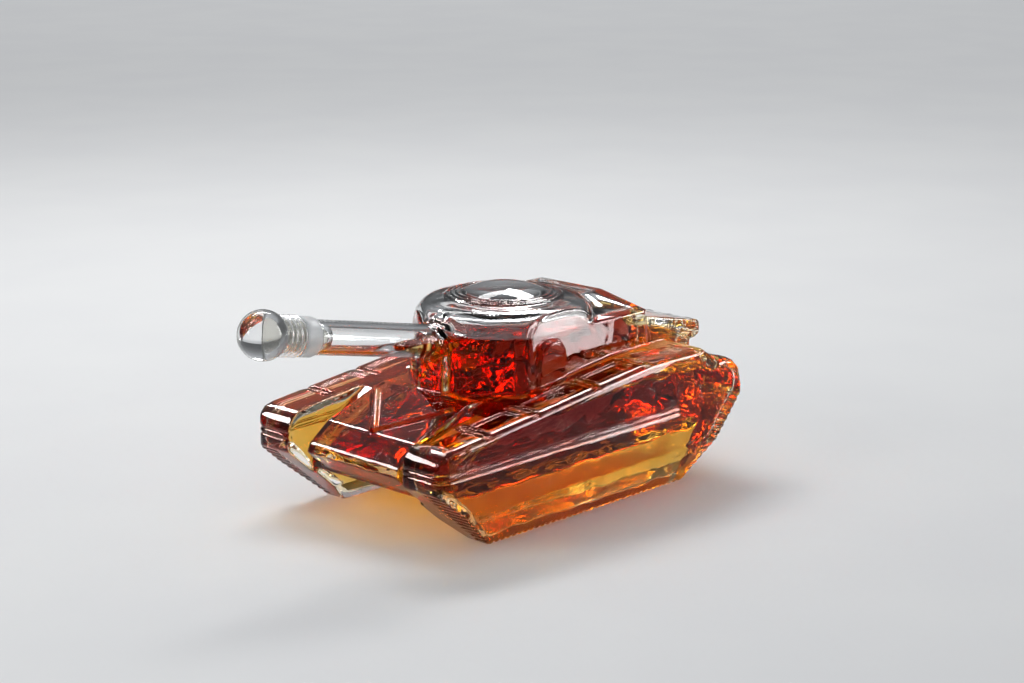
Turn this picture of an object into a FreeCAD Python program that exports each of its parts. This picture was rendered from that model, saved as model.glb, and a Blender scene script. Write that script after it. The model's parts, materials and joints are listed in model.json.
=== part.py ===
"""A glass decanter in the shape of a tracked armoured vehicle. Its gun barrel is the neck of the bottle.

Millimetres. +Z is up, the barrel points to -X, and the vehicle is the same on both sides of Y = 0.
Stations along X are measured from a datum under the turret. At the end everything is moved so that
the origin lies under the middle of the whole object, on the surface that the tracks stand on.
"""
import FreeCAD, Part
import math
import os

from FreeCAD import Placement, Rotation, Vector

# Glass and filling
wall = 4.6
liquor_gap = 0.15
liquor_level = 75.0

# Hull seen from the side
hull_front = -98.5
hull_rear = 91.0
ground_front = -65.0
ground_rear = 58.0
front_knee = 29.0
rear_knee = 36.0
guard_height = 45.0
guard_round = 10.0
fender_peak = 27.0
fender_end = 63.0
fender_height = 60.0
tail_start = 74.0
tail_height = 53.0
tail_round = 13.0
knee_round = 3.0

# Hull seen from the front
hull_half = 56.0
foot_outer = 48.65
foot_inner = 38.0
bevel_height = 17.5
tunnel_half = 31.0
tunnel_height = 20.0
tunnel_bevel = 10.0
plan_round = 6.0
tail_plan_round = 3.0

# Sunk deck between the mudguards, and the nose that stands up in it
deck_half = 34.0
deck_height = 52.5
deck_front = -52.0
deck_rear = 75.0
trough_front = -86.0
trough_height = 31.0
nose_half = 27.0
nose_lip = -95.0
nose_lip_height = 30.0
nose_edge = -93.0
nose_edge_height = 34.0
glacis_break = -83.0
glacis_break_height = 41.5
nose_foot = -84.0

# Splash board, a raised V on the glacis
board_apex = -82.0
board_end = -59.0
board_end_half = 23.0
board_width = 2.4
board_rise = 1.6

# Turret
turret_rim = 76.0
turret_front = -46.5
turret_front_half = 11.0
turret_corner = -31.5
turret_corner_half = 31.5
turret_side = -26.0
turret_half = 35.0
turret_rear = 53.0
turret_round = 2.5
rim_front_draft = 1.5
rim_rear_draft = 3.0
rim_side_draft = 1.0
dome_station = -5.0
dome_radius = 39.0
dome_rise = 13.0
dome_shoulder = 10.0
dome_bands = 6
cap_radius = 19.0
cap_rise = 3.4
ring_count = 3
ring_pitch = 2.2
ring_rise = 0.8
roof_front = 2.0
roof_rear = 38.0
roof_half = 17.5
roof_rise = 9.0
mantlet_rise = 4.0
mantlet_half = 8.0
mantlet_height = 70.0
mantlet_round = 3.0
shield_station = -13.0
shield_radius = 8.0
shield_height = 73.5
shield_rise = 2.6

# Stowage behind the turret
stowage_lap = 15.0
stowage_length = 28.0
stowage_overhang = 7.0
stowage_step = 5.0
stowage_tail = 7.5
stowage_slope = 10.5
stowage_half = 33.0
stowage_round = 3.2

# Fender boxes
box_inner = 38.5
strap_width = 1.8
strap_groove = 1.3
strap_depth = 1.8
strap_drop = 0.8
strap_end = 3.5
strap_stations = (-71.0, -43.0, -6.0, 26.0, 60.0)
box_rim = 2.6
box_rim_depth = 1.0

# Double line along each flank, and the teeth along the foot of each track
line_height = 35.2
line_spacing = 2.4
line_width = 1.2
line_depth = 0.8
line_rear = 47.0
tooth_pitch = 3.4
tooth_depth = 1.3
tooth_inner = 44.0

# Barrel
barrel_tilt = 11.44
barrel_sink = 5.5
barrel_root_height = 72.05
barrel_length = 83.0
bore_diameter = 10.4
barrel_wall = 1.95
lip_length = 8.2
lip_rise = 1.05
lip_chamfer = 0.8
weld_station = 4.0
weld_length = 7.0
weld_rise = 1.85

# Stopper and its sleeve
ball_diameter = 20.3
peg_diameter = 6.4
peg_length = 27.0
collar_length = 10.0
collar_diameter = 16.8
collar_rings = 4
collar_ring_depth = 0.45
plug_length = 15.0
plug_ribs = 3
plug_rib_height = 0.5
sleeve_clearance = 0.2
seat_clearance = 0.2

# Share of a side that the arcs at its two corners may take
straight_share = 0.98

SIDE = Placement(Vector(), Rotation(Vector(1, 0, 0), 90))
ACROSS = Placement(Vector(), Rotation(Vector(1, 1, 1), 120))
FLAT = Placement()


def inset(corners, depth):
    """The outline with each side moved in by depth. Corners are (u, v, radius), counter-clockwise.

    A side too short to survive the move is left out, and its neighbours are carried on until they meet.
    """
    count = len(corners)
    start = [Vector(u, v, 0) for u, v, radius in corners]
    along_side = [(start[(i + 1) % count] - start[i]).normalize() for i in range(count)]
    inward = [Vector(-side.y, side.x, 0) for side in along_side]
    sides = list(range(count))
    while True:
        moved = []
        for k, here in enumerate(sides):
            before = sides[k - 1]
            base = start[here] + inward[here] * depth
            gap = start[before] + inward[before] * depth - base
            reach = gap.dot(inward[before]) / along_side[here].dot(inward[before])
            moved.append(base + along_side[here] * reach)
        ends = moved[1:] + moved[:1]
        short = [k for k, here in enumerate(sides) if (ends[k] - moved[k]).dot(along_side[here]) <= 0]
        if not short:
            break
        sides.pop(short[0])
    result = []
    for k, here in enumerate(sides):
        radius = corners[here][2] if (sides[k - 1] + 1) % count == here else 0
        if radius:
            outside = along_side[here - 1].dot(inward[here]) < 0
            radius = max(radius - depth, 0) if outside else radius + depth
        result.append((moved[k].x, moved[k].y, radius))
    return result


def outline(corners):
    """A flat face inside the outline, with an arc at each corner that has a radius.

    Two arcs that would run into each other are made smaller until both fit on the side between them.
    """
    count = len(corners)
    points = [Vector(u, v, 0) for u, v, radius in corners]
    ahead = [(points[(i + 1) % count] - points[i]).normalize() for i in range(count)]
    half = [ahead[i].getAngle(-ahead[i - 1]) / 2 for i in range(count)]
    reach = [corners[i][2] / math.tan(half[i]) for i in range(count)]
    fit = [1.0] * count
    for i in range(count):
        j = (i + 1) % count
        needed = reach[i] + reach[j]
        room = straight_share * (points[j] - points[i]).Length
        if needed > room:
            fit[i] = min(fit[i], room / needed)
            fit[j] = min(fit[j], room / needed)
    starts = [points[i] - ahead[i - 1] * (reach[i] * fit[i]) for i in range(count)]
    ends = [points[i] + ahead[i] * (reach[i] * fit[i]) for i in range(count)]
    loop = []
    for i in range(count):
        radius = corners[i][2] * fit[i]
        if radius:
            inward = (ahead[i] - ahead[i - 1]).normalize()
            middle = points[i] + inward * (radius / math.sin(half[i]) - radius)
            loop.append(Part.Arc(starts[i], middle, ends[i]).toShape())
        loop.append(Part.makeLine(ends[i], starts[(i + 1) % count]))
    return Part.Face(Part.Wire(loop))


def slab(corners, placement, low, high):
    """The outline as a plate between two distances along the normal of its plane."""
    face = outline(corners)
    face.Placement = placement
    normal = placement.Rotation.multVec(Vector(0, 0, 1))
    face.translate(normal * low)
    return face.extrude(normal * (high - low))


def across_y(corners, half):
    """A side view (X, Z) carried from one side to the other, Y = -half to Y = half."""
    return slab(corners, SIDE, -half, half)


def sharp(points):
    """Corners without a radius."""
    return [(u, v, 0) for u, v in points]


def mirrored(shape):
    """The shape and its twin on the other side of Y = 0."""
    return [shape, shape.mirror(Vector(), Vector(0, 1, 0))]


def fender_line(x):
    """Height of the fender top at station x, ahead of its peak."""
    slope = (fender_height - guard_height) / (fender_peak - hull_front)
    return guard_height + slope * (min(x, fender_peak) - hull_front)


def hull_plan():
    """The hull seen from above."""
    return [
        (hull_front, -hull_half, plan_round),
        (hull_rear, -hull_half, tail_plan_round),
        (hull_rear, hull_half, tail_plan_round),
        (hull_front, hull_half, plan_round),
    ]


def hull(depth):
    """Hull, mudguards and tracks, with every wall moved in by depth."""
    side = [
        (ground_front, 0, knee_round),
        (ground_rear, 0, knee_round),
        (hull_rear, rear_knee, knee_round),
        (hull_rear, tail_height, tail_round),
        (tail_start, tail_height, 0),
        (fender_end, fender_height, 0),
        (fender_peak, fender_height, 0),
        (hull_front, guard_height, guard_round),
        (hull_front, front_knee, knee_round),
    ]
    top = fender_height + wall
    section = sharp([
        (-foot_outer, 0), (-foot_inner, 0), (-tunnel_half, tunnel_bevel), (-tunnel_half, tunnel_height),
        (tunnel_half, tunnel_height), (tunnel_half, tunnel_bevel), (foot_inner, 0), (foot_outer, 0),
        (hull_half, bevel_height), (hull_half, top), (-hull_half, top), (-hull_half, bevel_height),
    ])
    form = across_y(inset(side, depth), hull_half)
    form = form.common(slab(inset(section, depth), ACROSS, hull_front, hull_rear))
    form = form.common(slab(inset(hull_plan(), depth), FLAT, 0, top))
    ahead = hull_front - guard_round
    well = sharp([
        (ahead, -wall), (trough_front, -wall), (trough_front, trough_height), (deck_front, deck_height),
        (deck_rear, deck_height), (deck_rear, top), (ahead, top),
    ])
    form = form.cut(across_y(inset(well, -depth), deck_half + depth))
    nose = sharp([
        (nose_foot, tunnel_height), (turret_front, tunnel_height), (turret_front, deck_height),
        (deck_front, deck_height), (glacis_break, glacis_break_height), (nose_edge, nose_edge_height),
        (nose_lip, nose_lip_height),
    ])
    return form.fuse(across_y(inset(nose, depth), nose_half - depth))


def turret_plan(front, side, rear):
    """Plan of the turret, drawn in by these drafts."""
    right = [
        (turret_front + front, -turret_front_half + side),
        (turret_corner + front, -turret_corner_half + side),
        (turret_side + front, -turret_half + side),
        (turret_rear - rear, -turret_half + side),
    ]
    left = [(x, -y) for x, y in reversed(right)]
    return [(x, y, turret_round) for x, y in right + left]


def at_height(corners, height):
    """The outline as a closed wire at this height."""
    wire = outline(corners).OuterWire
    wire.translate(Vector(0, 0, height))
    return wire


def crown_arc(start, apex):
    """The arc that leaves start and meets the upright axis square at apex."""
    height = apex.z - start.z
    radius = (start.x ** 2 + height ** 2) / (2 * height)
    half = math.asin(start.x / radius) / 2
    middle = Vector(radius * math.sin(half), 0, apex.z - radius + radius * math.cos(half))
    return Part.Arc(start, middle, apex).toShape()


def domed_roof(depth):
    """The turret's roof: a shoulder in bands and a flat crown. On the outer skin a ringed cap stands on it."""
    shoulder = dome_shoulder - depth
    inner = dome_radius - dome_shoulder
    rise = dome_rise - depth
    crown = (inner ** 2 + rise ** 2 - shoulder ** 2) / (2 * (rise - shoulder))
    meet = math.atan2(crown - rise, inner)

    def on_crown(radius, lift=0):
        return Vector(radius, 0, rise - crown + math.sqrt(crown ** 2 - radius ** 2) + lift)

    points = [Vector()]
    for i in range(dome_bands + 1):
        a = meet * i / dome_bands
        points.append(Vector(inner + shoulder * math.cos(a), 0, shoulder * math.sin(a)))
    apex = Vector(0, 0, rise)
    if depth == 0:
        for i in reversed(range(ring_count)):
            middle = cap_radius + (i + 0.5) * ring_pitch
            points += [on_crown(middle + ring_pitch / 2), on_crown(middle, ring_rise)]
        points.append(on_crown(cap_radius))
        apex.z += cap_rise
    edges = Part.makePolygon(points).Edges
    edges += [crown_arc(points[-1], apex), Part.makeLine(apex, points[0])]
    dome = Part.Face(Part.Wire(edges)).revolve(Vector(), Vector(0, 0, 1), 360)
    dome.translate(Vector(dome_station, 0, turret_rim))
    return dome


def turret(depth):
    """Turret walls, domed roof and the hipped roof behind the dome, with every wall moved in by depth."""
    foot = inset(turret_plan(0, 0, 0), depth)
    rim = inset(turret_plan(rim_front_draft, rim_side_draft, rim_rear_draft), depth)
    root = deck_height - 2 * wall
    walls = Part.makeLoft([at_height(foot, root), at_height(rim, turret_rim)], True, True)
    top = turret_rim + dome_rise + cap_rise
    dome = domed_roof(depth).common(slab(rim, FLAT, root, top))
    eaves = [
        (roof_front, -turret_half + rim_side_draft, 0),
        (turret_rear - rim_rear_draft, -turret_half + rim_side_draft, 0),
        (turret_rear - rim_rear_draft, turret_half - rim_side_draft, 0),
        (roof_front, turret_half - rim_side_draft, 0),
    ]
    ridge = [
        (roof_front, -roof_half, 0),
        (roof_rear, -roof_half, 0),
        (roof_rear, roof_half, 0),
        (roof_front, roof_half, 0),
    ]
    roof = Part.makeLoft(
        [
            at_height(inset(eaves, depth), turret_rim),
            at_height(inset(ridge, depth), turret_rim + roof_rise - depth),
        ],
        True,
        True,
    )
    return walls.fuse([dome, roof])


def stowage(depth):
    """The sloping stowage box behind the turret."""
    front = turret_rear - stowage_lap
    waist = turret_rear + stowage_length
    rear = waist + stowage_overhang
    low = deck_height + stowage_step
    high = low + stowage_tail
    side = [
        (front, deck_height - wall, 0),
        (waist, deck_height - wall, 0),
        (waist, low, 0),
        (rear, low, stowage_round),
        (rear, high, stowage_round),
        (front, high + stowage_slope, 0),
    ]
    return across_y(inset(side, depth), stowage_half - depth)


def hollow(depth):
    """Everything inside the bottle, at this depth below its plain outer skin."""
    return hull(depth).fuse([turret(depth), stowage(depth)]).removeSplitter()


def barrel_axis():
    """Direction of the barrel, from the turret to the muzzle."""
    tilt = math.radians(barrel_tilt)
    return Vector(-math.cos(tilt), 0, math.sin(tilt))


def along(distance):
    """A point on the barrel's axis, this far from its root."""
    return Vector(turret_front + barrel_sink, 0, barrel_root_height) + barrel_axis() * distance


def rod(diameter, start, end):
    """A round bar on the barrel's axis."""
    return Part.makeCylinder(diameter / 2, end - start, along(start), barrel_axis())


def turned(profile):
    """A body of revolution about the barrel's axis, from (distance, radius) points."""
    points = [Vector(r, 0, s) for s, r in profile]
    face = Part.Face(Part.makePolygon(points + points[:1]))
    solid = face.revolve(Vector(), Vector(0, 0, 1), 360)
    solid.Placement = Placement(along(0), Rotation(Vector(0, 0, 1), barrel_axis()))
    return solid


def ball_station():
    """Distance of the ball's centre from the root of the barrel."""
    rim = collar_diameter / 2 - collar_ring_depth
    cup = ball_diameter / 2 + seat_clearance
    return barrel_length + seat_clearance + collar_length + math.sqrt(cup ** 2 - rim ** 2)


def splash_board():
    """The two arms of the raised V on the glacis."""
    slope = math.atan2(deck_height - glacis_break_height, deck_front - glacis_break)
    foot = glacis_break_height + (board_apex - glacis_break) * math.tan(slope)
    far = glacis_break_height + (board_end - glacis_break) * math.tan(slope)
    lean = Vector(board_end - board_apex, board_end_half, 0).normalize()
    aside = Vector(-lean.y, lean.x, 0) * (board_width / 2)
    start = Vector(board_apex, 0, foot)
    end = Vector(board_end, board_end_half, far)
    sunk = Vector(0, 0, -board_rise)
    corners = [start - aside + sunk, start + aside + sunk, end + aside + sunk, end - aside + sunk]
    plate = Part.Face(Part.makePolygon(corners + corners[:1]))
    arm = plate.extrude(Vector(0, 0, 2 * board_rise))
    tip = Part.makeCylinder(board_width / 2 / lean.x, 2 * board_rise, start + sunk)
    return mirrored(arm) + [tip]


def shields():
    """A raised plate with a round top on each side of the turret."""
    low = sharp([
        (shield_station - shield_radius, deck_height - shield_rise),
        (shield_station + shield_radius, deck_height - shield_rise),
        (shield_station + shield_radius, shield_height - shield_radius),
        (shield_station - shield_radius, shield_height - shield_radius),
    ])
    inner = turret_half - wall
    outer = turret_half + shield_rise
    plate = slab(low, SIDE, inner, outer)
    centre = Vector(shield_station, -inner, shield_height - shield_radius)
    crown = Part.makeCylinder(shield_radius, outer - inner, centre, Vector(0, -1, 0))
    return mirrored(plate.fuse(crown))


def mantlet():
    """The block that the barrel comes out of."""
    side = [
        (turret_front - mantlet_rise, deck_height - mantlet_round, 0),
        (turret_front + wall, deck_height - mantlet_round, 0),
        (turret_front + wall, mantlet_height, 0),
        (turret_front - mantlet_rise, mantlet_height, mantlet_round),
    ]
    return across_y(side, mantlet_half)


def fender_cuts():
    """A groove on each side of every strap, the step at its end, and the sunk panel in each box lid."""
    cuts = []
    across = strap_width + 2 * strap_groove
    for x in strap_stations:
        low = fender_line(x) - strap_depth
        for start in (x - across / 2, x + strap_width / 2):
            cuts.append(Part.makeBox(strap_groove, hull_half, strap_depth + wall, Vector(start, box_inner, low)))
        corner = Vector(x - across / 2, hull_half - strap_end, low + strap_drop)
        cuts.append(Part.makeBox(across, hull_half, strap_depth + wall, corner))
    edge = box_rim + across / 2
    for front, rear in zip(strap_stations, strap_stations[1:]):
        stations = [front + edge, rear - edge]
        if stations[0] < fender_peak < stations[1]:
            stations.insert(1, fender_peak)
        low = [(x, fender_line(x) - box_rim_depth) for x in stations]
        high = [(x, fender_line(x) + wall) for x in reversed(stations)]
        cuts.append(slab(sharp(low + high), SIDE, -hull_half + box_rim + plan_round / 2, -box_inner - box_rim))
    return [twin for cut in cuts for twin in mirrored(cut)]


def flank_lines():
    """Two shallow grooves along each flank and round the fronts of the mudguards."""
    behind = sharp([
        (hull_front - wall, -hull_half - wall), (line_rear, -hull_half - wall),
        (line_rear, hull_half + wall), (hull_front - wall, hull_half + wall),
    ])
    grooves = []
    for step in (-0.5, 0.5):
        low = line_height + step * line_spacing - line_width / 2
        plate = slab(behind, FLAT, low, low + line_width)
        grooves.append(plate.cut(slab(inset(hull_plan(), line_depth), FLAT, low, low + line_width)))
    return grooves


def track_teeth():
    """Notches in the lower edge of each track, along the ground and up both slopes."""
    runs = [
        (Vector(ground_front, 0, 0), Vector(ground_rear, 0, 0)),
        (Vector(hull_front, 0, front_knee), Vector(ground_front, 0, 0)),
        (Vector(ground_rear, 0, 0), Vector(hull_rear, 0, rear_knee)),
    ]
    notches = []
    for start, end in runs:
        ahead = (end - start).normalize()
        inward = Vector(-ahead.z, 0, ahead.x)
        count = int((end - start).Length // tooth_pitch) - 1
        first = ((end - start).Length - (count - 1) * tooth_pitch) / 2
        for i in range(count):
            centre = start + ahead * (first + i * tooth_pitch) + Vector(0, tooth_inner, 0)
            corners = [
                centre - ahead * tooth_depth - inward * tooth_depth / 2,
                centre + ahead * tooth_depth - inward * tooth_depth / 2,
                centre + inward * tooth_depth,
            ]
            face = Part.Face(Part.makePolygon(corners + corners[:1]))
            notches += mirrored(face.extrude(Vector(0, hull_half, 0)))
    return notches


def bottle_body():
    """The moulding: plain skin with its raised and sunk detail, hollowed, and bored for the barrel."""
    skin = hull(0).fuse([turret(0), stowage(0), mantlet()] + shields() + splash_board())
    skin = skin.cut(fender_cuts() + flank_lines())
    skin = skin.cut(Part.makeCompound(track_teeth()))
    body = skin.cut(hollow(wall))
    return body.cut(barrel_skin().fuse(rod(bore_diameter + 2 * barrel_wall, -wall, 0))).removeSplitter()


def barrel_skin():
    """The barrel's outer form, with a lip at the muzzle and a swelling where it is fused to the turret."""
    tube = bore_diameter / 2 + barrel_wall
    lip = tube + lip_rise
    weld = tube + weld_rise
    return turned([
        (0, 0),
        (barrel_length, 0),
        (barrel_length, lip - lip_chamfer),
        (barrel_length - lip_chamfer, lip),
        (barrel_length - lip_length + lip_chamfer, lip),
        (barrel_length - lip_length, tube),
        (weld_station + weld_length, tube),
        (weld_station + weld_length / 2, weld),
        (weld_station, weld),
        (0, tube),
    ])


def barrel_neck():
    """The tube that liquor is poured through."""
    return barrel_skin().cut(rod(bore_diameter, -wall, barrel_length + wall))


def glass_stopper():
    """A ball with a round peg."""
    centre = ball_station()
    ball = Part.makeSphere(ball_diameter / 2, along(centre))
    return ball.fuse(rod(peg_diameter, centre - peg_length, centre)).removeSplitter()


def stopper_sleeve():
    """A ringed collar that cups the ball, and a ribbed plug that seals the bore."""
    seat = barrel_length + seat_clearance
    crest = bore_diameter / 2 - sleeve_clearance
    root = crest - plug_rib_height
    hole = peg_diameter / 2 + seat_clearance / 2
    rim = collar_diameter / 2
    end = seat - plug_length
    profile = [(end, hole), (end, root)]
    pitch = plug_length / plug_ribs
    for i in range(plug_ribs):
        middle = end + (i + 0.5) * pitch
        profile += [(middle - pitch / 4, root), (middle, crest), (middle + pitch / 4, root)]
    profile += [(seat, root), (seat, rim - collar_ring_depth)]
    step = collar_length / collar_rings
    for i in range(collar_rings):
        middle = seat + (i + 0.5) * step
        profile += [(middle - step / 4, rim), (middle + step / 4, rim)]
        profile += [(seat + (i + 1) * step, rim - collar_ring_depth)]
    profile += [(seat + collar_length, hole)]
    sleeve = turned(profile)
    cup = Part.makeSphere(ball_diameter / 2 + seat_clearance, along(ball_station()))
    return sleeve.cut(cup)


def liquor():
    """The filling, level on top, which also stands in the foot of the tilted barrel."""
    depth = wall + liquor_gap
    filling = hollow(depth).fuse(rod(bore_diameter - 2 * liquor_gap, -wall, barrel_length / 2))
    size = hull_rear - hull_front
    below = Part.makeBox(2 * size, 2 * size, liquor_level, Vector(-size, -size, 0))
    return filling.common(below).removeSplitter()


def main():
    """Builds each piece, moves it to the common origin and writes it."""
    os.makedirs("parts", exist_ok=True)
    muzzle = along(ball_station()).x - ball_diameter / 2
    shift = Vector(-(muzzle + hull_rear) / 2, 0, 0)
    for build in (bottle_body, barrel_neck, glass_stopper, stopper_sleeve, liquor):
        piece = build()
        piece.translate(shift)
        box = piece.BoundBox
        print(build.__name__, len(piece.Solids), "solid", round(piece.Volume / 1000, 1), "cc", box)
        piece.exportStep(os.path.join("parts", build.__name__ + ".step"))
    print("shift", shift, "muzzle face", along(barrel_length) + shift, "axis", barrel_axis())
    print("capacity", round(hollow(wall).Volume / 1000, 1), "cc")


main()
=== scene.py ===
# %% [markdown]
# # A glass decanter moulded as a tracked vehicle
#
# The bottle is one thick moulding of clear glass. A drawn glass tube is melted into its turret and serves as
# the neck, a glass ball on a peg closes it, and amber liquor fills the body up to the rim of the turret.
# The measured solids are loaded first and never moved. Each visible piece is then made from its solid, so it
# sits exactly where the solid is, and the solid is hidden behind it.

# %% Load the measured solids
import json
import math

import bmesh
import bpy
import numpy as np
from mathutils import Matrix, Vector


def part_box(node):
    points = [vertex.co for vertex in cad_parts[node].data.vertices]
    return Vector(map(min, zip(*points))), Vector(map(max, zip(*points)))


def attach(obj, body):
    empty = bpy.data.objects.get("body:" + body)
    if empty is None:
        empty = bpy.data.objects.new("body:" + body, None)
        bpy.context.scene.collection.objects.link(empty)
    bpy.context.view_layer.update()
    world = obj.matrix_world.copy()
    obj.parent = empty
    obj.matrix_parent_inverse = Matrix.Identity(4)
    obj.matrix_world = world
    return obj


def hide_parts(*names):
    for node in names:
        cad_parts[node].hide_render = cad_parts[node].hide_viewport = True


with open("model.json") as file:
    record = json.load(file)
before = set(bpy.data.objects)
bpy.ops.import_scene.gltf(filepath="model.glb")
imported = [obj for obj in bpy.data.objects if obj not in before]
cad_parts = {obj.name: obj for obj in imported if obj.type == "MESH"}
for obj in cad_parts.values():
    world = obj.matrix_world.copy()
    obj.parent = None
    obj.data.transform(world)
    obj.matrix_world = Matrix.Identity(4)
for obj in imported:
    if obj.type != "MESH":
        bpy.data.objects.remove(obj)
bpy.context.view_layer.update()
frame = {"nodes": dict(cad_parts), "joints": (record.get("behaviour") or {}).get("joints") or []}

MM = 0.001
scene = bpy.context.scene
print("solids:", ", ".join(sorted(frame["nodes"])))

# %% [markdown]
# ## The camera
#
# A photograph of glass is mostly a picture of what stands around it, so the camera comes before the pieces.
# It stands on a ball round a point in the middle of the turret: one angle turns it round the bottle, one lifts
# it, and the lens is given in millimetres on the usual 36 mm film width.

# %% Camera
view_turn = math.radians(-46.26)
view_lift = math.radians(13.78)
view_distance = 0.9553
view_target = Vector((0.0290, 0.0, 0.0648))
view_lens = 77.68

towards_camera = Vector((
    math.sin(view_turn) * math.cos(view_lift),
    -math.cos(view_turn) * math.cos(view_lift),
    math.sin(view_lift),
))
lens = bpy.data.cameras.new("camera")
lens.sensor_width = 36
lens.lens = view_lens
camera = bpy.data.objects.new("camera", lens)
camera.location = view_target + towards_camera * view_distance
camera.rotation_euler = towards_camera.to_track_quat("Z", "Y").to_euler()
scene.collection.objects.link(camera)
scene.camera = camera
print("camera at", [round(c, 3) for c in camera.location])

# %% [markdown]
# ## Writing materials as sums
#
# A node tree is easier to read as arithmetic. A `Wire` is the output of a node. Adding, subtracting or
# multiplying wires adds Math nodes behind the scenes.

# %% Wires
class Wire:
    """A node's output that can be used in a sum."""

    def __init__(self, nodes, socket):
        self.nodes = nodes
        self.socket = socket

    def sum(self, operation, first, second):
        return self.nodes.node("ShaderNodeMath", {"operation": operation}, {0: first, 1: second})

    def __add__(self, other):
        return self.sum("ADD", self, other)

    def __rsub__(self, other):
        return self.sum("SUBTRACT", other, self)

    def __mul__(self, other):
        return self.sum("MULTIPLY", self, other)

    def __abs__(self):
        return self.sum("ABSOLUTE", self, 0.0)


print("a", Wire.__name__, "is", Wire.__doc__)

# %% [markdown]
# Every other node comes from `Nodes.node`, which takes the node's type, its settings and what goes into its
# sockets: a wire is linked, and a plain value is set on the socket. Two nodes are needed so often that they get a
# short name, a mix of two colours and a change from one range of values to another.

# %% Nodes
class Nodes:
    """A node tree that is written line by line."""

    def __init__(self, tree):
        self.tree = tree

    def node(self, kind, settings, inputs, output=0):
        made = self.tree.nodes.new(kind)
        for name, value in settings.items():
            setattr(made, name, value)
        for socket, value in inputs.items():
            if isinstance(value, Wire):
                self.tree.links.new(value.socket, made.inputs[socket])
            else:
                made.inputs[socket].default_value = value
        return Wire(self, made.outputs[output])

    def feed(self, target, socket, wire):
        self.tree.links.new(wire.socket, self.tree.nodes[target].inputs[socket])

    def mix(self, share, first, second):
        """A colour between two colours."""
        return self.node("ShaderNodeMix", {"data_type": "RGBA"}, {0: share, 6: first, 7: second}, 2)

    def between(self, wire, low, high, to_low=0.0, to_high=1.0):
        """Moves a range of values to another range, eased at both ends."""
        settings = {"interpolation_type": "SMOOTHSTEP"}
        sockets = {"Value": wire, "From Min": low, "From Max": high, "To Min": to_low, "To Max": to_high}
        return self.node("ShaderNodeMapRange", settings, sockets)


print("a", Nodes.__name__, "object is", Nodes.__doc__)

# %% [markdown]
# A `Finish` is the nodes of one material. Its patterns are solid: they are looked up by the place in space and not
# by a flat map, so a piece needs no unwrapping and a pattern runs on across all edges.

# %% Finishes
class Finish(Nodes):
    """A material with one Principled shader. Plain values go straight onto the shader's sockets."""

    def __init__(self, name, **plain):
        self.material = bpy.data.materials.new(name)
        self.material.use_nodes = True
        super().__init__(self.material.node_tree)
        for socket, value in plain.items():
            self.tree.nodes["Principled BSDF"].inputs[socket.replace("_", " ")].default_value = value

    def shade(self, socket, wire):
        self.feed("Principled BSDF", socket, wire)

    def place(self, stretch=(1, 1, 1), turn=(0, 0, 0)):
        """Coordinates fixed to the bottle, in metres, turned and then stretched."""
        spot = self.node("ShaderNodeTexCoord", {}, {}, "Object")
        turned = self.node("ShaderNodeMapping", {"vector_type": "TEXTURE"}, {"Vector": spot, "Rotation": turn})
        return self.node("ShaderNodeMapping", {}, {"Vector": turned, "Scale": stretch})

    def noise(self, place, per_metre, detail=2.0, twist=0.0):
        settings = {"Vector": place, "Scale": per_metre, "Detail": detail, "Distortion": twist}
        return self.node("ShaderNodeTexNoise", {}, settings)

    def relief(self, height, depth):
        """Raises the surface by height times depth, in metres."""
        bump = self.node("ShaderNodeBump", {}, {"Height": height, "Distance": depth, "Strength": 1.0})
        self.shade("Normal", bump)


print("a", Finish.__name__, "is", Finish.__doc__)

# %% [markdown]
# ## Light
#
# Clear glass has no colour of its own. It shows by the bright and dark shapes that it bends and mirrors. The room
# is therefore bright overhead and dim towards the horizon, and two soft lamps light the floor and the bottle.
# The white lines along the moulded edges need more: glass mirrors only a twentieth of what falls on it, so a lamp
# that draws a white line would burn out a pale floor. Light linking settles that, because it lets a lamp shine on
# one collection alone. A third soft lamp lights every piece but not the floor. The edge lamps and cards light the
# body and the liquor, and a wide wash from above lights the floor, which keeps it pale far behind the bottle.

# %% Lamps
bottle_middle = (0.03, 0.0, 0.05)


def soft_lamp(name, place, size, power, only=None, aim=bottle_middle):
    """A rectangular soft lamp that faces a point of the bottle and may shine on one collection only."""
    light = bpy.data.lights.new(name, "AREA")
    light.shape = "RECTANGLE"
    light.size, light.size_y = size
    light.energy = power
    lamp = bpy.data.objects.new(name, light)
    lamp.location = place
    lamp.rotation_euler = (lamp.location - Vector(aim)).to_track_quat("Z", "Y").to_euler()
    lamp.visible_camera = False
    if only:
        lamp.light_linking.receiver_collection = only
    scene.collection.objects.link(lamp)
    return lamp


shiny = bpy.data.collections.new("shiny_pieces")
whole = bpy.data.collections.new("all_pieces")
ground = bpy.data.collections.new("ground")
lamps = [
    soft_lamp("lamp_over_back", (0.30, 0.55, 0.85), (0.8, 0.16), 5.0),
    soft_lamp("lamp_right", (0.65, -0.75, 0.38), (0.16, 0.6), 2.0, whole),
    soft_lamp("lamp_left", (-0.95, 0.30, 0.50), (0.12, 0.5), 2.0),
    soft_lamp("edge_lamp_left", (-0.67, 0.80, 0.63), (0.50, 0.32), 26.0, shiny),
    soft_lamp("edge_lamp_high", (0.67, 0.28, 0.90), (0.50, 0.30), 13.0, shiny),
    soft_lamp("edge_lamp_back", (0.11, 0.83, 0.83), (0.20, 0.20), 6.0, shiny),
    soft_lamp("edge_card_right", (0.30, -0.29, 0.135), (0.26, 0.12), 2.8, shiny),
    soft_lamp("edge_card_low", (0.209, -0.211, 0.055), (0.052, 0.108), 0.30, shiny, (0.024, -0.026, 0.055)),
    soft_lamp("floor_wash", (1.8, 1.8, 2.2), (3.0, 3.0), 24.0, ground, (1.8, 1.8, 0.0)),
]
print("lamps:", [lamp.name for lamp in lamps])

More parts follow.
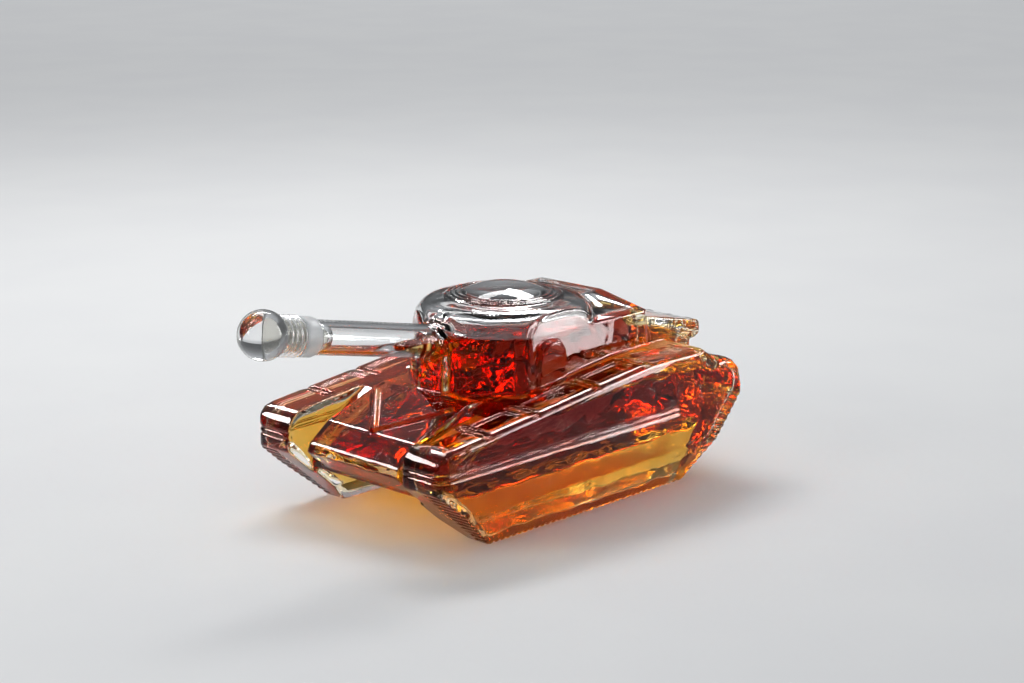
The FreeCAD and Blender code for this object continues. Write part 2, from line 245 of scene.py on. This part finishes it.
# %% [markdown]
# The room is a background that depends on how far up one looks. Light needs many bounces to get through glass,
# liquor and glass again, and the Standard view transform keeps the reds of the liquor as they are.

# %% Room
world = bpy.data.worlds.new("room")
world.use_nodes = True
scene.world = world
room = Nodes(world.node_tree)
direction = room.node("ShaderNodeTexCoord", {}, {}, "Generated")
upward = room.node("ShaderNodeSeparateXYZ", {}, {"Vector": direction}, "Z")
horizon, overhead = (0.07, 0.073, 0.076, 1), (0.62, 0.64, 0.67, 1)
room.feed("Background", "Color", room.mix(room.between(upward, 0.05, 0.95), horizon, overhead))
scene.cycles.max_bounces = 32
scene.cycles.transmission_bounces = 28
scene.view_settings.view_transform = "Standard"
print("room:", world.name, "with", scene.cycles.max_bounces, "bounces of light")

# %% [markdown]
# ## The floor
#
# A wide pale sheet. It gets the faint unevenness of painted board, so that it isn't one flat colour, and little
# sheen, so that no lamp leaves a bright pool on it. It lies a hair below the bottle, so that no faces coincide.

# %% Floor
floor_reach = 6.0
floor_gap = 0.2 * MM


def pale_board():
    finish = Finish("pale_board", Roughness=0.6, Specular_IOR_Level=0.2)
    grain = finish.noise(finish.place(), 9.0, detail=4.0)
    tint = finish.between(grain, 0.3, 0.7)
    finish.shade("Base Color", finish.mix(tint, (0.715, 0.715, 0.715, 1), (0.735, 0.735, 0.73, 1)))
    return finish.material


sheet = bmesh.new()
bmesh.ops.create_grid(sheet, x_segments=1, y_segments=1, size=floor_reach)
floor_mesh = bpy.data.meshes.new("floor")
sheet.to_mesh(floor_mesh)
sheet.free()
floor = bpy.data.objects.new("floor", floor_mesh)
floor.location.z = -floor_gap
floor_mesh.materials.append(pale_board())
scene.collection.objects.link(floor)
ground.objects.link(floor)
print("floor reaches", floor_reach, "m each way")

# %% [markdown]
# ## From sharp solids to moulded glass
#
# The solids have knife-sharp edges. Moulded glass never does: it flows into the mould and leaves every edge
# round, and those round edges carry the bright lines. A Bevel modifier would stumble over the many small
# cut faces, so the solid is remade as an even skin of tiny squares (a voxel remesh) and then relaxed.

# %% Remake
skin_step = 0.45 * MM


def joined(*nodes):
    """A copy of these solids' faces in one mesh, with doubled points merged."""
    both = bmesh.new()
    for node in nodes:
        both.from_mesh(frame["nodes"][node].data)
    bmesh.ops.remove_doubles(both, verts=both.verts, dist=1e-6)
    mesh = bpy.data.meshes.new(nodes[0] + "_copy")
    both.to_mesh(mesh)
    both.free()
    return mesh


def through_modifier(mesh, kind, **settings):
    """The mesh after one modifier."""
    holder = bpy.data.objects.new("holder", mesh)
    scene.collection.objects.link(holder)
    modifier = holder.modifiers.new(kind, kind)
    for name, value in settings.items():
        setattr(modifier, name, value)
    made = bpy.data.meshes.new_from_object(holder.evaluated_get(bpy.context.evaluated_depsgraph_get()))
    bpy.data.objects.remove(holder)
    return made


print("skin of", skin_step / MM, "mm squares")

# %% [markdown]
# Relaxing moves each point towards the middle of its neighbours a few times, which rounds the edges and leaves
# flats flat. A skin has close to a million points, so they are moved all at once as an array. Afterwards the skin
# is lightened: the Decimate modifier merges faces, first of all where the surface is flat.

# %% Relax and lighten
relax_rounds = 9


def read(items, field, width=1, kind=float):
    """One field of all points, edges or faces as an array."""
    flat = np.empty(len(items) * width, np.int32 if kind is int else np.float32)
    items.foreach_get(field, flat)
    flat = flat.astype(kind)
    return flat.reshape(-1, width) if width > 1 else flat


def set_points(mesh, points):
    mesh.vertices.foreach_set("co", points.astype(np.float32).ravel())
    mesh.update()


def relax(mesh, rounds, hold=None):
    """Moves each point towards the mean of its neighbours. hold is the share of the move that each point makes."""
    points = read(mesh.vertices, "co", 3)
    a, b = read(mesh.edges, "vertices", 2, int).T
    count = np.bincount(a, minlength=len(points)) + np.bincount(b, minlength=len(points))
    share = 0.5 * (np.ones(len(points)) if hold is None else hold)
    for _ in range(rounds):
        for k in range(3):
            near = np.bincount(a, points[b, k], len(points)) + np.bincount(b, points[a, k], len(points))
            points[:, k] += share * (near / count - points[:, k])
    set_points(mesh, points)


def lighten(mesh, faces):
    """The mesh with about this many triangles. Flats lose most of theirs."""
    share = faces / (2 * len(mesh.polygons))
    return through_modifier(mesh, "DECIMATE", ratio=share) if share < 1 else mesh


print("the skin is relaxed", relax_rounds, "times")

# %% [markdown]
# ## The moulded body and the melted-on barrel
#
# The barrel is drawn tube, fused to the turret while both are soft. Joining the two solids before the remesh
# melts them together in the same way, with no wall left between. Much of what follows depends on where a point lies
# along the barrel and how far from its axis. The axis is that of the joint by which the stopper is pulled.

# %% The barrel's axis
barrel_axis = Vector(frame["joints"][0]["axis"]).normalized()
barrel_root = Vector((-0.01200, 0.0, 0.07205))
barrel_reach = 83 * MM


def station_and_radius(points):
    """How far each point lies along the barrel, and how far from its axis."""
    offset = points - np.array(barrel_root)
    along = offset @ np.array(barrel_axis)
    return along, np.linalg.norm(offset - np.outer(along, barrel_axis), axis=1)


print("the barrel rises by", round(math.degrees(math.asin(barrel_axis.z)), 2), "degrees")

# %% [markdown]
# The long edge where the flank meets the top of the fender is rounder than relaxing makes it, so it is rounded over
# first: a point that is near both faces is drawn back onto a circle that touches both. The top of the fender is
# given as it looks from the side, from the nose to the tail, in millimetres.

# %% Rounded fenders
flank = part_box("bottle_body")[1].y
edge_round = 3.2 * MM
fender_top = [
    (-69.5, 29), (-69.5, 36), (-68, 41.5), (-65, 44.8), (-60.7, 46), (56, 60), (92, 60),
    (103, 53), (107, 53), (114, 51), (118, 47), (120, 40),
]


def round_over(points):
    """Rounds the edge between the flank and the top of the fender."""
    nearest = np.full(len(points), np.inf)
    depth = np.zeros(len(points))
    inward = np.zeros((len(points), 2))
    spot = points[:, [0, 2]]
    for start, end in zip(fender_top, fender_top[1:]):
        start, run = np.array(start) * MM, (np.array(end) - np.array(start)) * MM
        share = np.clip((spot - start) @ run / (run @ run), 0, 1)
        offset = spot - start - share[:, None] * run
        gap = np.linalg.norm(offset, axis=1)
        into = np.array((run[1], -run[0])) / np.linalg.norm(run)
        closer = gap < nearest
        nearest[closer] = gap[closer]
        depth[closer] = gap[closer] * np.sign(offset[closer] @ into)
        inward[closer] = into
    from_top = np.clip(edge_round - depth, 0, None)
    from_side = np.clip(edge_round - (flank - np.abs(points[:, 1])), 0, None)
    reach = np.hypot(from_top, from_side)
    corner = (from_top > 0) & (from_side > 0) & (reach > edge_round) & (nearest < 2 * edge_round)
    back = (reach - edge_round)[corner] / reach[corner]
    moved = points.copy()
    moved[corner, 1] -= np.sign(points[corner, 1]) * from_side[corner] * back
    moved[corner, 0] += inward[corner, 0] * from_top[corner] * back
    moved[corner, 2] += inward[corner, 1] * from_top[corner] * back
    return moved


print("fender edges get a radius of", round(edge_round / MM, 1), "mm")

# %% [markdown]
# The round-topped shields on the turret's sides lean out a little at the top, so that they mirror the floor while
# the wall behind mirrors a lamp. The further a point stands out from the turret, the more it moves, so the foot of
# the shield's rim stays on the wall.

# %% Leaning shields
turret_side = 35 * MM
shield_middle = 16 * MM
shield_half = 8.6 * MM
shield_top = 73.5 * MM
shield_foot = 53 * MM
shield_rise = 2.6 * MM
shield_limit = 1.15
shield_lean = 0.075


def lean_shields(points):
    """Draws the lower part of each shield's face in towards the turret."""
    x, y, z = points.T
    out = (np.abs(y) - turret_side) / shield_rise
    on_shield = (np.abs(x - shield_middle) < shield_half) & (z > shield_foot) & (z < shield_top)
    on_shield &= (out > 0) & (out < shield_limit)
    moved = points.copy()
    moved[:, 1] -= np.where(on_shield, np.sign(y) * out * shield_lean * (shield_top - z), 0)
    return moved


print("shields lean by", round(math.degrees(math.atan(shield_lean)), 1), "degrees")

# %% [markdown]
# The fine relief is the teeth, the lines along the flanks, the rings round the dome, the straps on the fenders and
# the ridges of nose and tail. It is relaxed less than the rest, and the teeth least of all. The plain skin of the
# flanks is no fine relief, so it is relaxed in full.

# %% Glass skin
foot_height, tooth_height = 2.5 * MM, 2 * MM
flank_line, line_band = 35.2 * MM, 2 * MM
dome_centre = (24 * MM, 0)
ring_base, ring_radius, ring_band = 82 * MM, 22 * MM, 5 * MM
fender_width = 18 * MM
strap_foot = 42 * MM
ridge_top, nose_end, tail_start = 36 * MM, -36 * MM, 87 * MM
flank_skin = 0.3 * MM
bevel_top = 12 * MM
tooth_share, fine_share = 0.2, 0.45

glass_skin = through_modifier(
    joined("bottle_body", "barrel_neck"), "REMESH", mode="VOXEL", voxel_size=skin_step)
points = lean_shields(round_over(read(glass_skin.vertices, "co", 3)))
set_points(glass_skin, points)
x, y, z = points.T
from_dome = np.hypot(x - dome_centre[0], y - dome_centre[1])
on_fender = np.abs(y) > flank - fender_width
by_line = np.abs(z - flank_line) < line_band
fine = z < foot_height
fine |= by_line & (np.abs(y) > flank - line_band)
fine |= (z > ring_base) & (np.abs(from_dome - ring_radius) < ring_band)
fine |= on_fender & (z > strap_foot)
fine |= on_fender & (z < ridge_top) & ((x < nose_end) | (x > tail_start))
fine &= (np.abs(y) < flank - flank_skin) | (z < bevel_top) | by_line
teeth = on_fender & (z < tooth_height)
relax(glass_skin, relax_rounds, np.where(teeth, tooth_share, np.where(fine, fine_share, 1.0)))
print("glass skin:", len(glass_skin.polygons), "faces,", int(fine.sum()), "points of fine relief")

# %% [markdown]
# The skin is now parted: first across the tube, just past the weld, so that body and barrel stay two pieces with
# their own finish. What is left of the body then falls into two loose sheets, the outside that the mould shaped
# and the inner wall. They are told apart by following the edges from point to point.

# %% Part barrel, outside and inner wall
weld_end = 14.5 * MM
tube_room = 11 * MM


def part_of(mesh, keep, name):
    """A new mesh with only the marked faces. All faces have four corners."""
    corners = read(mesh.loops, "vertex_index", 1, int).reshape(-1, 4)[keep]
    used, again = np.unique(corners, return_inverse=True)
    made = bpy.data.meshes.new(name)
    made.from_pydata(read(mesh.vertices, "co", 3)[used], [], again.reshape(-1, 4).tolist())
    return made


def islands(mesh):
    """A number for each point that is the same for all points joined by edges."""
    a, b = read(mesh.edges, "vertices", 2, int).T
    label = np.arange(len(mesh.vertices))
    while True:
        lower = np.minimum(label[a], label[b])
        fresh = label.copy()
        np.minimum.at(fresh, a, lower)
        np.minimum.at(fresh, b, lower)
        fresh = fresh[fresh]
        if (fresh == label).all():
            return label
        label = fresh


along, radius = station_and_radius(read(glass_skin.polygons, "center", 3))
on_barrel = (along > weld_end) & (radius < tube_room)
barrel_mesh = part_of(glass_skin, on_barrel, "barrel_tube")
both_walls = part_of(glass_skin, ~on_barrel, "both_walls")
island = islands(both_walls)
outermost = island[read(both_walls.vertices, "co", 3)[:, 0].argmax()]
face_island = island[read(both_walls.loops, "vertex_index", 1, int).reshape(-1, 4)[:, 0]]
outside_mesh = part_of(both_walls, face_island == outermost, "outside")
inside_mesh = part_of(both_walls, face_island != outermost, "inner_wall")
for mesh in (barrel_mesh, outside_mesh, inside_mesh):
    print(mesh.name, len(mesh.polygons), "faces")

# %% [markdown]
# ## The unevenness of the inner wall
#
# Only the outside of the glass touches the mould. The inside is free and sets in slow, shallow lumps, which is
# why the liquor looks marbled through the wall. A few sine waves in odd directions make such a surface, deeper
# towards the tail, where the glass gathered, and nearly gone in the dome. The same waves move the liquor, so that
# glass and liquor stay in touch. The bore of the tube is smooth, so they fade out there. Depths are in millimetres.

# %% Slow lumps
wall_lump, tail_lump = 0.6, 0.5
dome_calm = 0.85
lump_waves = [
    ((210, 95, 160), 0.3), ((-130, 260, 75), 1.7), ((90, -170, 240), 2.9), ((300, 140, -110), 4.1),
    ((-240, -90, 280), 5.2), ((60, 330, -190), 0.9), ((410, -220, 130), 3.5), ((-350, 420, 260), 2.2),
]


def waves(points, table):
    """An uneven pattern round zero, from waves and their phases."""
    return sum(np.sin(points @ np.array(wave) + phase) for wave, phase in table) / math.sqrt(len(table))


def ramp(values, start, end):
    """Rises from 0 to 1 between start and end."""
    return np.clip((values - start) / (end - start), 0, 1)


def lumps(points):
    """How far the inner wall stands out towards the outside at each point."""
    along, radius = station_and_radius(points)
    off_bore = np.maximum(ramp(-along, -2 * MM, 6 * MM), ramp(radius, 7 * MM, 11 * MM))
    depth = (wall_lump + tail_lump * ramp(points[:, 0], 75 * MM, 105 * MM)) * MM
    below_dome = 1 - dome_calm * ramp(points[:, 2], 68 * MM, 76 * MM)
    return off_bore * below_dome * depth * waves(points, lump_waves)


print("inner wall:", len(lump_waves), "waves, about", wall_lump + tail_lump, "mm deep at the tail")

# %% [markdown]
# The outside gets finer and shallower waves at the tail and round the weld, where the hot glass was pushed
# about. Both walls are then lightened, because their flats need only a few of their faces.

# %% Push and lighten the walls
weld_wrinkle, tail_wrinkle = 0.45, 0.12
outside_faces, inside_faces = 190_000, 80_000
wrinkle_waves = [
    ((900, 300, 500), 0.4), ((-400, 1100, 300), 2.1), ((700, -600, 900), 3.3), ((-1000, -500, 600), 5.0),
]


def push(mesh, distance):
    """Moves each point along the surface's own direction."""
    points = read(mesh.vertices, "co", 3)
    set_points(mesh, points + read(mesh.vertex_normals, "vector", 3) * distance(points)[:, None])


def wrinkles(points):
    """How far the outside stands out at each point."""
    along, radius = station_and_radius(points)
    at_weld = ramp(-radius, -13 * MM, -9.5 * MM) * ramp(-along, -12 * MM, -9 * MM) * ramp(along, -4 * MM, 0)
    at_tail = ramp(points[:, 0], 98 * MM, 112 * MM) * ramp(points[:, 2], 20 * MM, 36 * MM)
    return (weld_wrinkle * at_weld + tail_wrinkle * at_tail) * MM * waves(points, wrinkle_waves)


push(inside_mesh, lambda points: -lumps(points))
push(outside_mesh, wrinkles)
outside_mesh = lighten(outside_mesh, outside_faces)
inside_mesh = lighten(inside_mesh, inside_faces)
print("outside", len(outside_mesh.polygons), "faces, inner wall", len(inside_mesh.polygons), "faces")

# %% [markdown]
# ## Glass finishes
#
# All glass here is a Principled shader that lets all light through and bends it by 1.5. What makes it look
# moulded is its relief: slow waves a couple of centimetres long, a fine skin like orange peel, and a coarser
# grain on the bevel above the foot, where the mould was rough. Under the belly it is smooth. A dark Specular Tint
# weakens what the glass mirrors when it is seen head on, so that the pale floor doesn't veil the liquor.

# %% Moulded glass
glass_bend = 1.5
weak_mirror = (0.2, 0.2, 0.2, 1)
peel_share = 0.015


def see_through(name, bend, colour=(1, 1, 1, 1), **plain):
    """A smooth finish that lets all light through and bends it."""
    return Finish(name, Transmission_Weight=1.0, Roughness=0.0, IOR=bend, Base_Color=colour, **plain)


def moulded_glass():
    finish = see_through("moulded_glass", glass_bend, (0.98, 0.985, 0.98, 1), Specular_Tint=weak_mirror)
    spot = finish.place()
    slow = finish.noise(spot, 60.0, detail=1.0, twist=0.4)
    peel = finish.noise(spot, 500.0, detail=1.0)
    grain = finish.noise(spot, 500.0, detail=2.0)
    aside = abs(finish.node("ShaderNodeSeparateXYZ", {}, {"Vector": spot}, "Y"))
    height = finish.node("ShaderNodeSeparateXYZ", {}, {"Vector": spot}, "Z")
    outer = finish.between(aside, 41 * MM, 46 * MM)
    above_belly = 1 - (1 - outer) * (1 - finish.between(height, 24 * MM, 30 * MM))
    at_foot = outer * (1 - finish.between(height, 15.5 * MM, 17.5 * MM))
    finish.relief(slow + peel * above_belly * peel_share + grain * at_foot, 0.15 * MM)
    return finish.material


clear = moulded_glass()
print("finish:", clear.name)

# %% [markdown]
# Where liquor touches the wall, light goes from glass to liquor and not to air. Both bend light nearly alike, so
# that wall gets the ratio of the two, 1.5 / 1.36. The drawn tube has its streaks lengthwise, and its lip is ground
# matt.

# %% Wetted, drawn and ground glass
liquor_bend = 1.36


def wetted_glass():
    finish = see_through("wetted_glass", glass_bend / liquor_bend)
    lumpy = finish.noise(finish.place((0.4, 1, 1)), 150.0, detail=1.0, twist=0.6)
    finish.relief(lumpy, 0.9 * MM)
    return finish.material


def drawn_glass():
    finish = see_through("drawn_glass", glass_bend, (0.98, 0.99, 0.99, 1))
    tilt = math.asin(barrel_axis.z)
    streaks = finish.noise(finish.place((0.05, 1, 1), (0, tilt, 0)), 260.0, detail=2.0)
    finish.relief(streaks, 0.10 * MM)
    return finish.material


def ground_glass():
    finish = Finish("ground_glass", Transmission_Weight=0.45, IOR=1.45, Base_Color=(0.96, 0.97, 0.97, 1))
    grit = finish.noise(finish.place(), 2500.0, detail=3.0)
    finish.shade("Roughness", finish.between(grit, 0.3, 0.7, 0.35, 0.6))
    finish.relief(grit, 0.12 * MM)
    return finish.material


wet, drawn, ground_lip = wetted_glass(), drawn_glass(), ground_glass()
print("finishes:", wet.name, drawn.name, ground_lip.name)

# %% [markdown]
# ## The pieces of the bottle
#
# Each mesh becomes a piece that rides on the bottle and stands for its solid. The inner wall and the bore are wet
# up to the level of the liquor. A clean line of edges is cut there, or else the border would run in steps from face
# to face. Which finish a face has then depends on its middle: below the level, in the bore or on the lip.

# %% Body and barrel pieces
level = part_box("liquor")[1].z
lip_start = 75.3 * MM
bore_wall = 6 * MM


def cut_at_level(mesh):
    """Puts a clean line of edges where the liquor ends."""
    cut = bmesh.new()
    cut.from_mesh(mesh)
    geometry = cut.verts[:] + cut.edges[:] + cut.faces[:]
    bmesh.ops.bisect_plane(cut, geom=geometry, plane_co=(0, 0, level), plane_no=(0, 0, 1))
    cut.to_mesh(mesh)
    cut.free()


def bottle_piece(name, mesh, node, finishes):
    """A smooth visible piece on the bottle, with its finishes."""
    piece = bpy.data.objects.new(name, mesh)
    scene.collection.objects.link(piece)
    mesh.shade_smooth()
    mesh.materials.clear()
    for finish in finishes:
        mesh.materials.append(finish)
    whole.objects.link(piece)
    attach(piece, "bottle")
    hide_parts(node)
    return piece


cut_at_level(inside_mesh)
cut_at_level(barrel_mesh)
shiny.objects.link(bottle_piece("moulded_body", outside_mesh, "bottle_body", [clear]))
shiny.objects.link(bottle_piece("inner_wall", inside_mesh, "bottle_body", [clear, wet]))
bottle_piece("drawn_barrel", barrel_mesh, "barrel_neck", [drawn, wet, ground_lip])

below = read(inside_mesh.polygons, "center", 3)[:, 2] < level
inside_mesh.polygons.foreach_set("material_index", below.astype(np.int32))
centres = read(barrel_mesh.polygons, "center", 3)
along, radius = station_and_radius(centres)
in_bore = radius < bore_wall
finish_index = np.where(in_bore & (centres[:, 2] < level), 1, 0)
finish_index[(along > lip_start) & ~in_bore] = 2
barrel_mesh.polygons.foreach_set("material_index", finish_index.astype(np.int32))
print("wetted faces:", int(below.sum()), "ground faces:", int((finish_index == 2).sum()))

# %% [markdown]
# ## The liquor
#
# The filling is made from its own solid in the same way and swollen a little, so that it reaches into the
# glass all round and no film of air is left. The wetted wall already bends the light, so the sides of the filling
# don't: they only mark where the colour starts. The top is cut level afterwards, so the relaxing doesn't round
# it off. There the light does pass from liquor to air, and a sheet just above the top bends it. The sheet is a
# piece of its own, and the filling is smooth all over, because Cycles only ends a volume at a face that has the
# material and the smooth or flat shading of the face that began it. Otherwise the colour goes on to the sky.

# %% Liquor
swell = 0.38 * MM
overfill = 4 * MM
film = 0.03 * MM
level_slack = 0.01 * MM
liquor_step = max(skin_step, 0.8 * MM)
liquor_rounds = 4
liquor_faces = 60_000
filling = joined("liquor")
points = read(filling.vertices, "co", 3)
points[points[:, 2] > level - level_slack, 2] += overfill
set_points(filling, points)
filling = through_modifier(filling, "REMESH", mode="VOXEL", voxel_size=liquor_step)
relax(filling, liquor_rounds)
push(filling, lambda points: swell + lumps(points))
filling = lighten(filling, liquor_faces)

cut = bmesh.new()
cut.from_mesh(filling)
geometry = cut.verts[:] + cut.edges[:] + cut.faces[:]
made = bmesh.ops.bisect_plane(
    cut, geom=geometry, plane_co=(0, 0, level - film), plane_no=(0, 0, 1), clear_outer=True)
rim = [e for e in made["geom_cut"] if isinstance(e, bmesh.types.BMEdge)]
bmesh.ops.triangle_fill(cut, edges=rim, use_beauty=True)
bmesh.ops.recalc_face_normals(cut, faces=cut.faces)
liquor_mesh = bpy.data.meshes.new("liquor_filling")
cut.to_mesh(liquor_mesh)
below_top = [f for f in cut.faces if f.calc_center_median().z < level - 2 * film]
bmesh.ops.delete(cut, geom=below_top, context="FACES")
bmesh.ops.translate(cut, verts=cut.verts, vec=(0, 0, film))
surface_mesh = bpy.data.meshes.new("liquor_surface")
cut.to_mesh(surface_mesh)
cut.free()
print("liquor:", len(liquor_mesh.polygons), "faces, level at", round(level / MM, 1), "mm")

# %% [markdown]
# The colour of a drink is a matter of depth: each centimetre takes a little red, more green and most of the
# blue, so a thin layer is gold and a thick one red-brown. That is what a Volume Absorption node does. Its colour
# says what is left and its density how fast the rest goes.

# %% Liquor finish
unbent = 1.0


def amber_liquor():
    finish = see_through("amber_liquor", unbent)
    depth = finish.node("ShaderNodeVolumeAbsorption", {}, {"Color": (0.905, 0.69, 0.0, 1), "Density": 175.0})
    finish.feed("Material Output", "Volume", depth)
    return finish.material


def still_surface():
    finish = see_through("still_surface", liquor_bend)
    finish.relief(finish.noise(finish.place(), 40.0, detail=1.0), 0.08 * MM)
    return finish.material


shiny.objects.link(bottle_piece("liquor_filling", liquor_mesh, "liquor", [amber_liquor()]))
shiny.objects.link(bottle_piece("liquor_surface", surface_mesh, "liquor", [still_surface()]))
print("level sheet:", len(surface_mesh.polygons), "faces")

# %% [markdown]
# ## Stopper and sleeve
#
# Both are round about the barrel's axis, so each is a profile that is spun. A profile is a list of distances
# along the barrel and radii.

# %% Spin a profile
def spun(name, profile, steps=96):
    """A body of revolution about the barrel's axis, from (distance, radius) points."""
    shape = bmesh.new()
    ring = [shape.verts.new((radius, 0, distance)) for distance, radius in profile]
    edges = [shape.edges.new(pair) for pair in zip(ring, ring[1:])]
    bmesh.ops.spin(
        shape, geom=ring + edges, cent=(0, 0, 0), axis=(0, 0, 1), angle=math.tau, steps=steps, use_merge=True)
    bmesh.ops.remove_doubles(shape, verts=shape.verts, dist=1e-6)
    bmesh.ops.recalc_face_normals(shape, faces=shape.faces)
    turn = barrel_axis.to_track_quat("Z", "Y")
    for vert in shape.verts:
        vert.co = turn @ vert.co + barrel_root
    mesh = bpy.data.meshes.new(name)
    shape.to_mesh(mesh)
    shape.free()
    mesh.shade_smooth()
    piece = bpy.data.objects.new(name, mesh)
    scene.collection.objects.link(piece)
    whole.objects.link(piece)
    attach(piece, "stopper")
    return piece


print("profiles are spun from", [round(c / MM, 1) for c in barrel_root], "mm")

# %% [markdown]
# The stopper is a solid glass ball on a peg. Where the ball is comes from its solid's box, whose front and top it
# touches. The profile runs along the peg and then round the ball to its tip.

# %% Stopper
ball_radius = 10.15 * MM
ball_steps = 48
peg_radius = 3.2 * MM
peg_length = 27 * MM
peg_bevel = 0.6 * MM
ball_low, ball_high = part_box("glass_stopper")
ball_centre = (Vector((ball_low.x + ball_radius, 0, ball_high.z - ball_radius)) - barrel_root).dot(barrel_axis)
peg_end = ball_centre - peg_length
neck_angle = math.asin(peg_radius / ball_radius)
profile = [(peg_end, 0.0), (peg_end, peg_radius - peg_bevel), (peg_end + peg_bevel, peg_radius)]
profile += [(ball_centre - ball_radius * math.cos(neck_angle), peg_radius)]
for i in range(1, ball_steps + 1):
    angle = neck_angle + (math.pi - neck_angle) * i / ball_steps
    profile.append((ball_centre - ball_radius * math.cos(angle), max(ball_radius * math.sin(angle), 0)))
stopper = spun("ball_stopper", profile)


def stopper_glass():
    finish = see_through("stopper_glass", glass_bend, (0.98, 0.985, 0.985, 1))
    slow = finish.noise(finish.place(), 120.0, detail=1.0)
    finish.relief(slow, 0.12 * MM)
    return finish.material


stopper.data.materials.append(stopper_glass())
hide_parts("glass_stopper")
print("stopper ball centre", round(ball_centre / MM, 1), "mm along the barrel")

# %% [markdown]
# The sleeve is soft milky plastic. Its collar has rounded rings to pull by and cups the ball, and its plug has
# ribs that squeeze into the bore. Rings and ribs are half waves, so the profile needs no rounding.

# %% Sleeve
seat = barrel_reach + 0.2 * MM
collar_end = seat + 10 * MM
collar_radius = 8.4 * MM
ring_count, ring_depth = 4, 0.7 * MM
plug_start = seat - 15 * MM
plug_radius = 5.0 * MM
rib_count, rib_height = 3, 0.5 * MM
ridge_steps = 16
peg_hole = peg_radius + 0.1 * MM
cup_radius = ball_radius + 0.2 * MM
cup_edge = 0.02 * MM
cup_points = 13


def wavy(start, end, count, crest, depth):
    """Points of count rounded ridges between two distances."""
    share = np.linspace(0, 1, ridge_steps * count + 1)
    return [(start + (end - start) * t, crest - depth * (1 - abs(math.sin(math.pi * count * t)))) for t in share]


profile = [(plug_start, peg_hole)]
profile += wavy(plug_start, seat, rib_count, plug_radius, rib_height)
profile += wavy(seat, collar_end, ring_count, collar_radius, ring_depth)
cup_start = ball_centre - math.sqrt(cup_radius ** 2 - peg_hole ** 2)
for share in np.linspace(1, 0, cup_points):
    at = cup_start + (collar_end - cup_edge - cup_start) * share
    profile.append((at, math.sqrt(cup_radius ** 2 - (ball_centre - at) ** 2)))
profile.append((plug_start, peg_hole))
sleeve = spun("ringed_sleeve", profile)


def milky_plastic():
    finish = Finish("milky_plastic", Transmission_Weight=0.88, IOR=1.45)
    cloudy = finish.noise(finish.place(), 350.0, detail=3.0)
    finish.shade("Base Color", finish.mix(cloudy, (0.93, 0.92, 0.86, 1), (0.88, 0.86, 0.78, 1)))
    finish.shade("Roughness", finish.between(cloudy, 0.3, 0.7, 0.06, 0.2))
    finish.relief(finish.noise(finish.place(), 900.0), 0.05 * MM)
    return finish.material


sleeve.data.materials.append(milky_plastic())
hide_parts("stopper_sleeve")
print("sleeve from", round(plug_start / MM, 1), "to", round(collar_end / MM, 1), "mm along the barrel")

# %% [markdown]
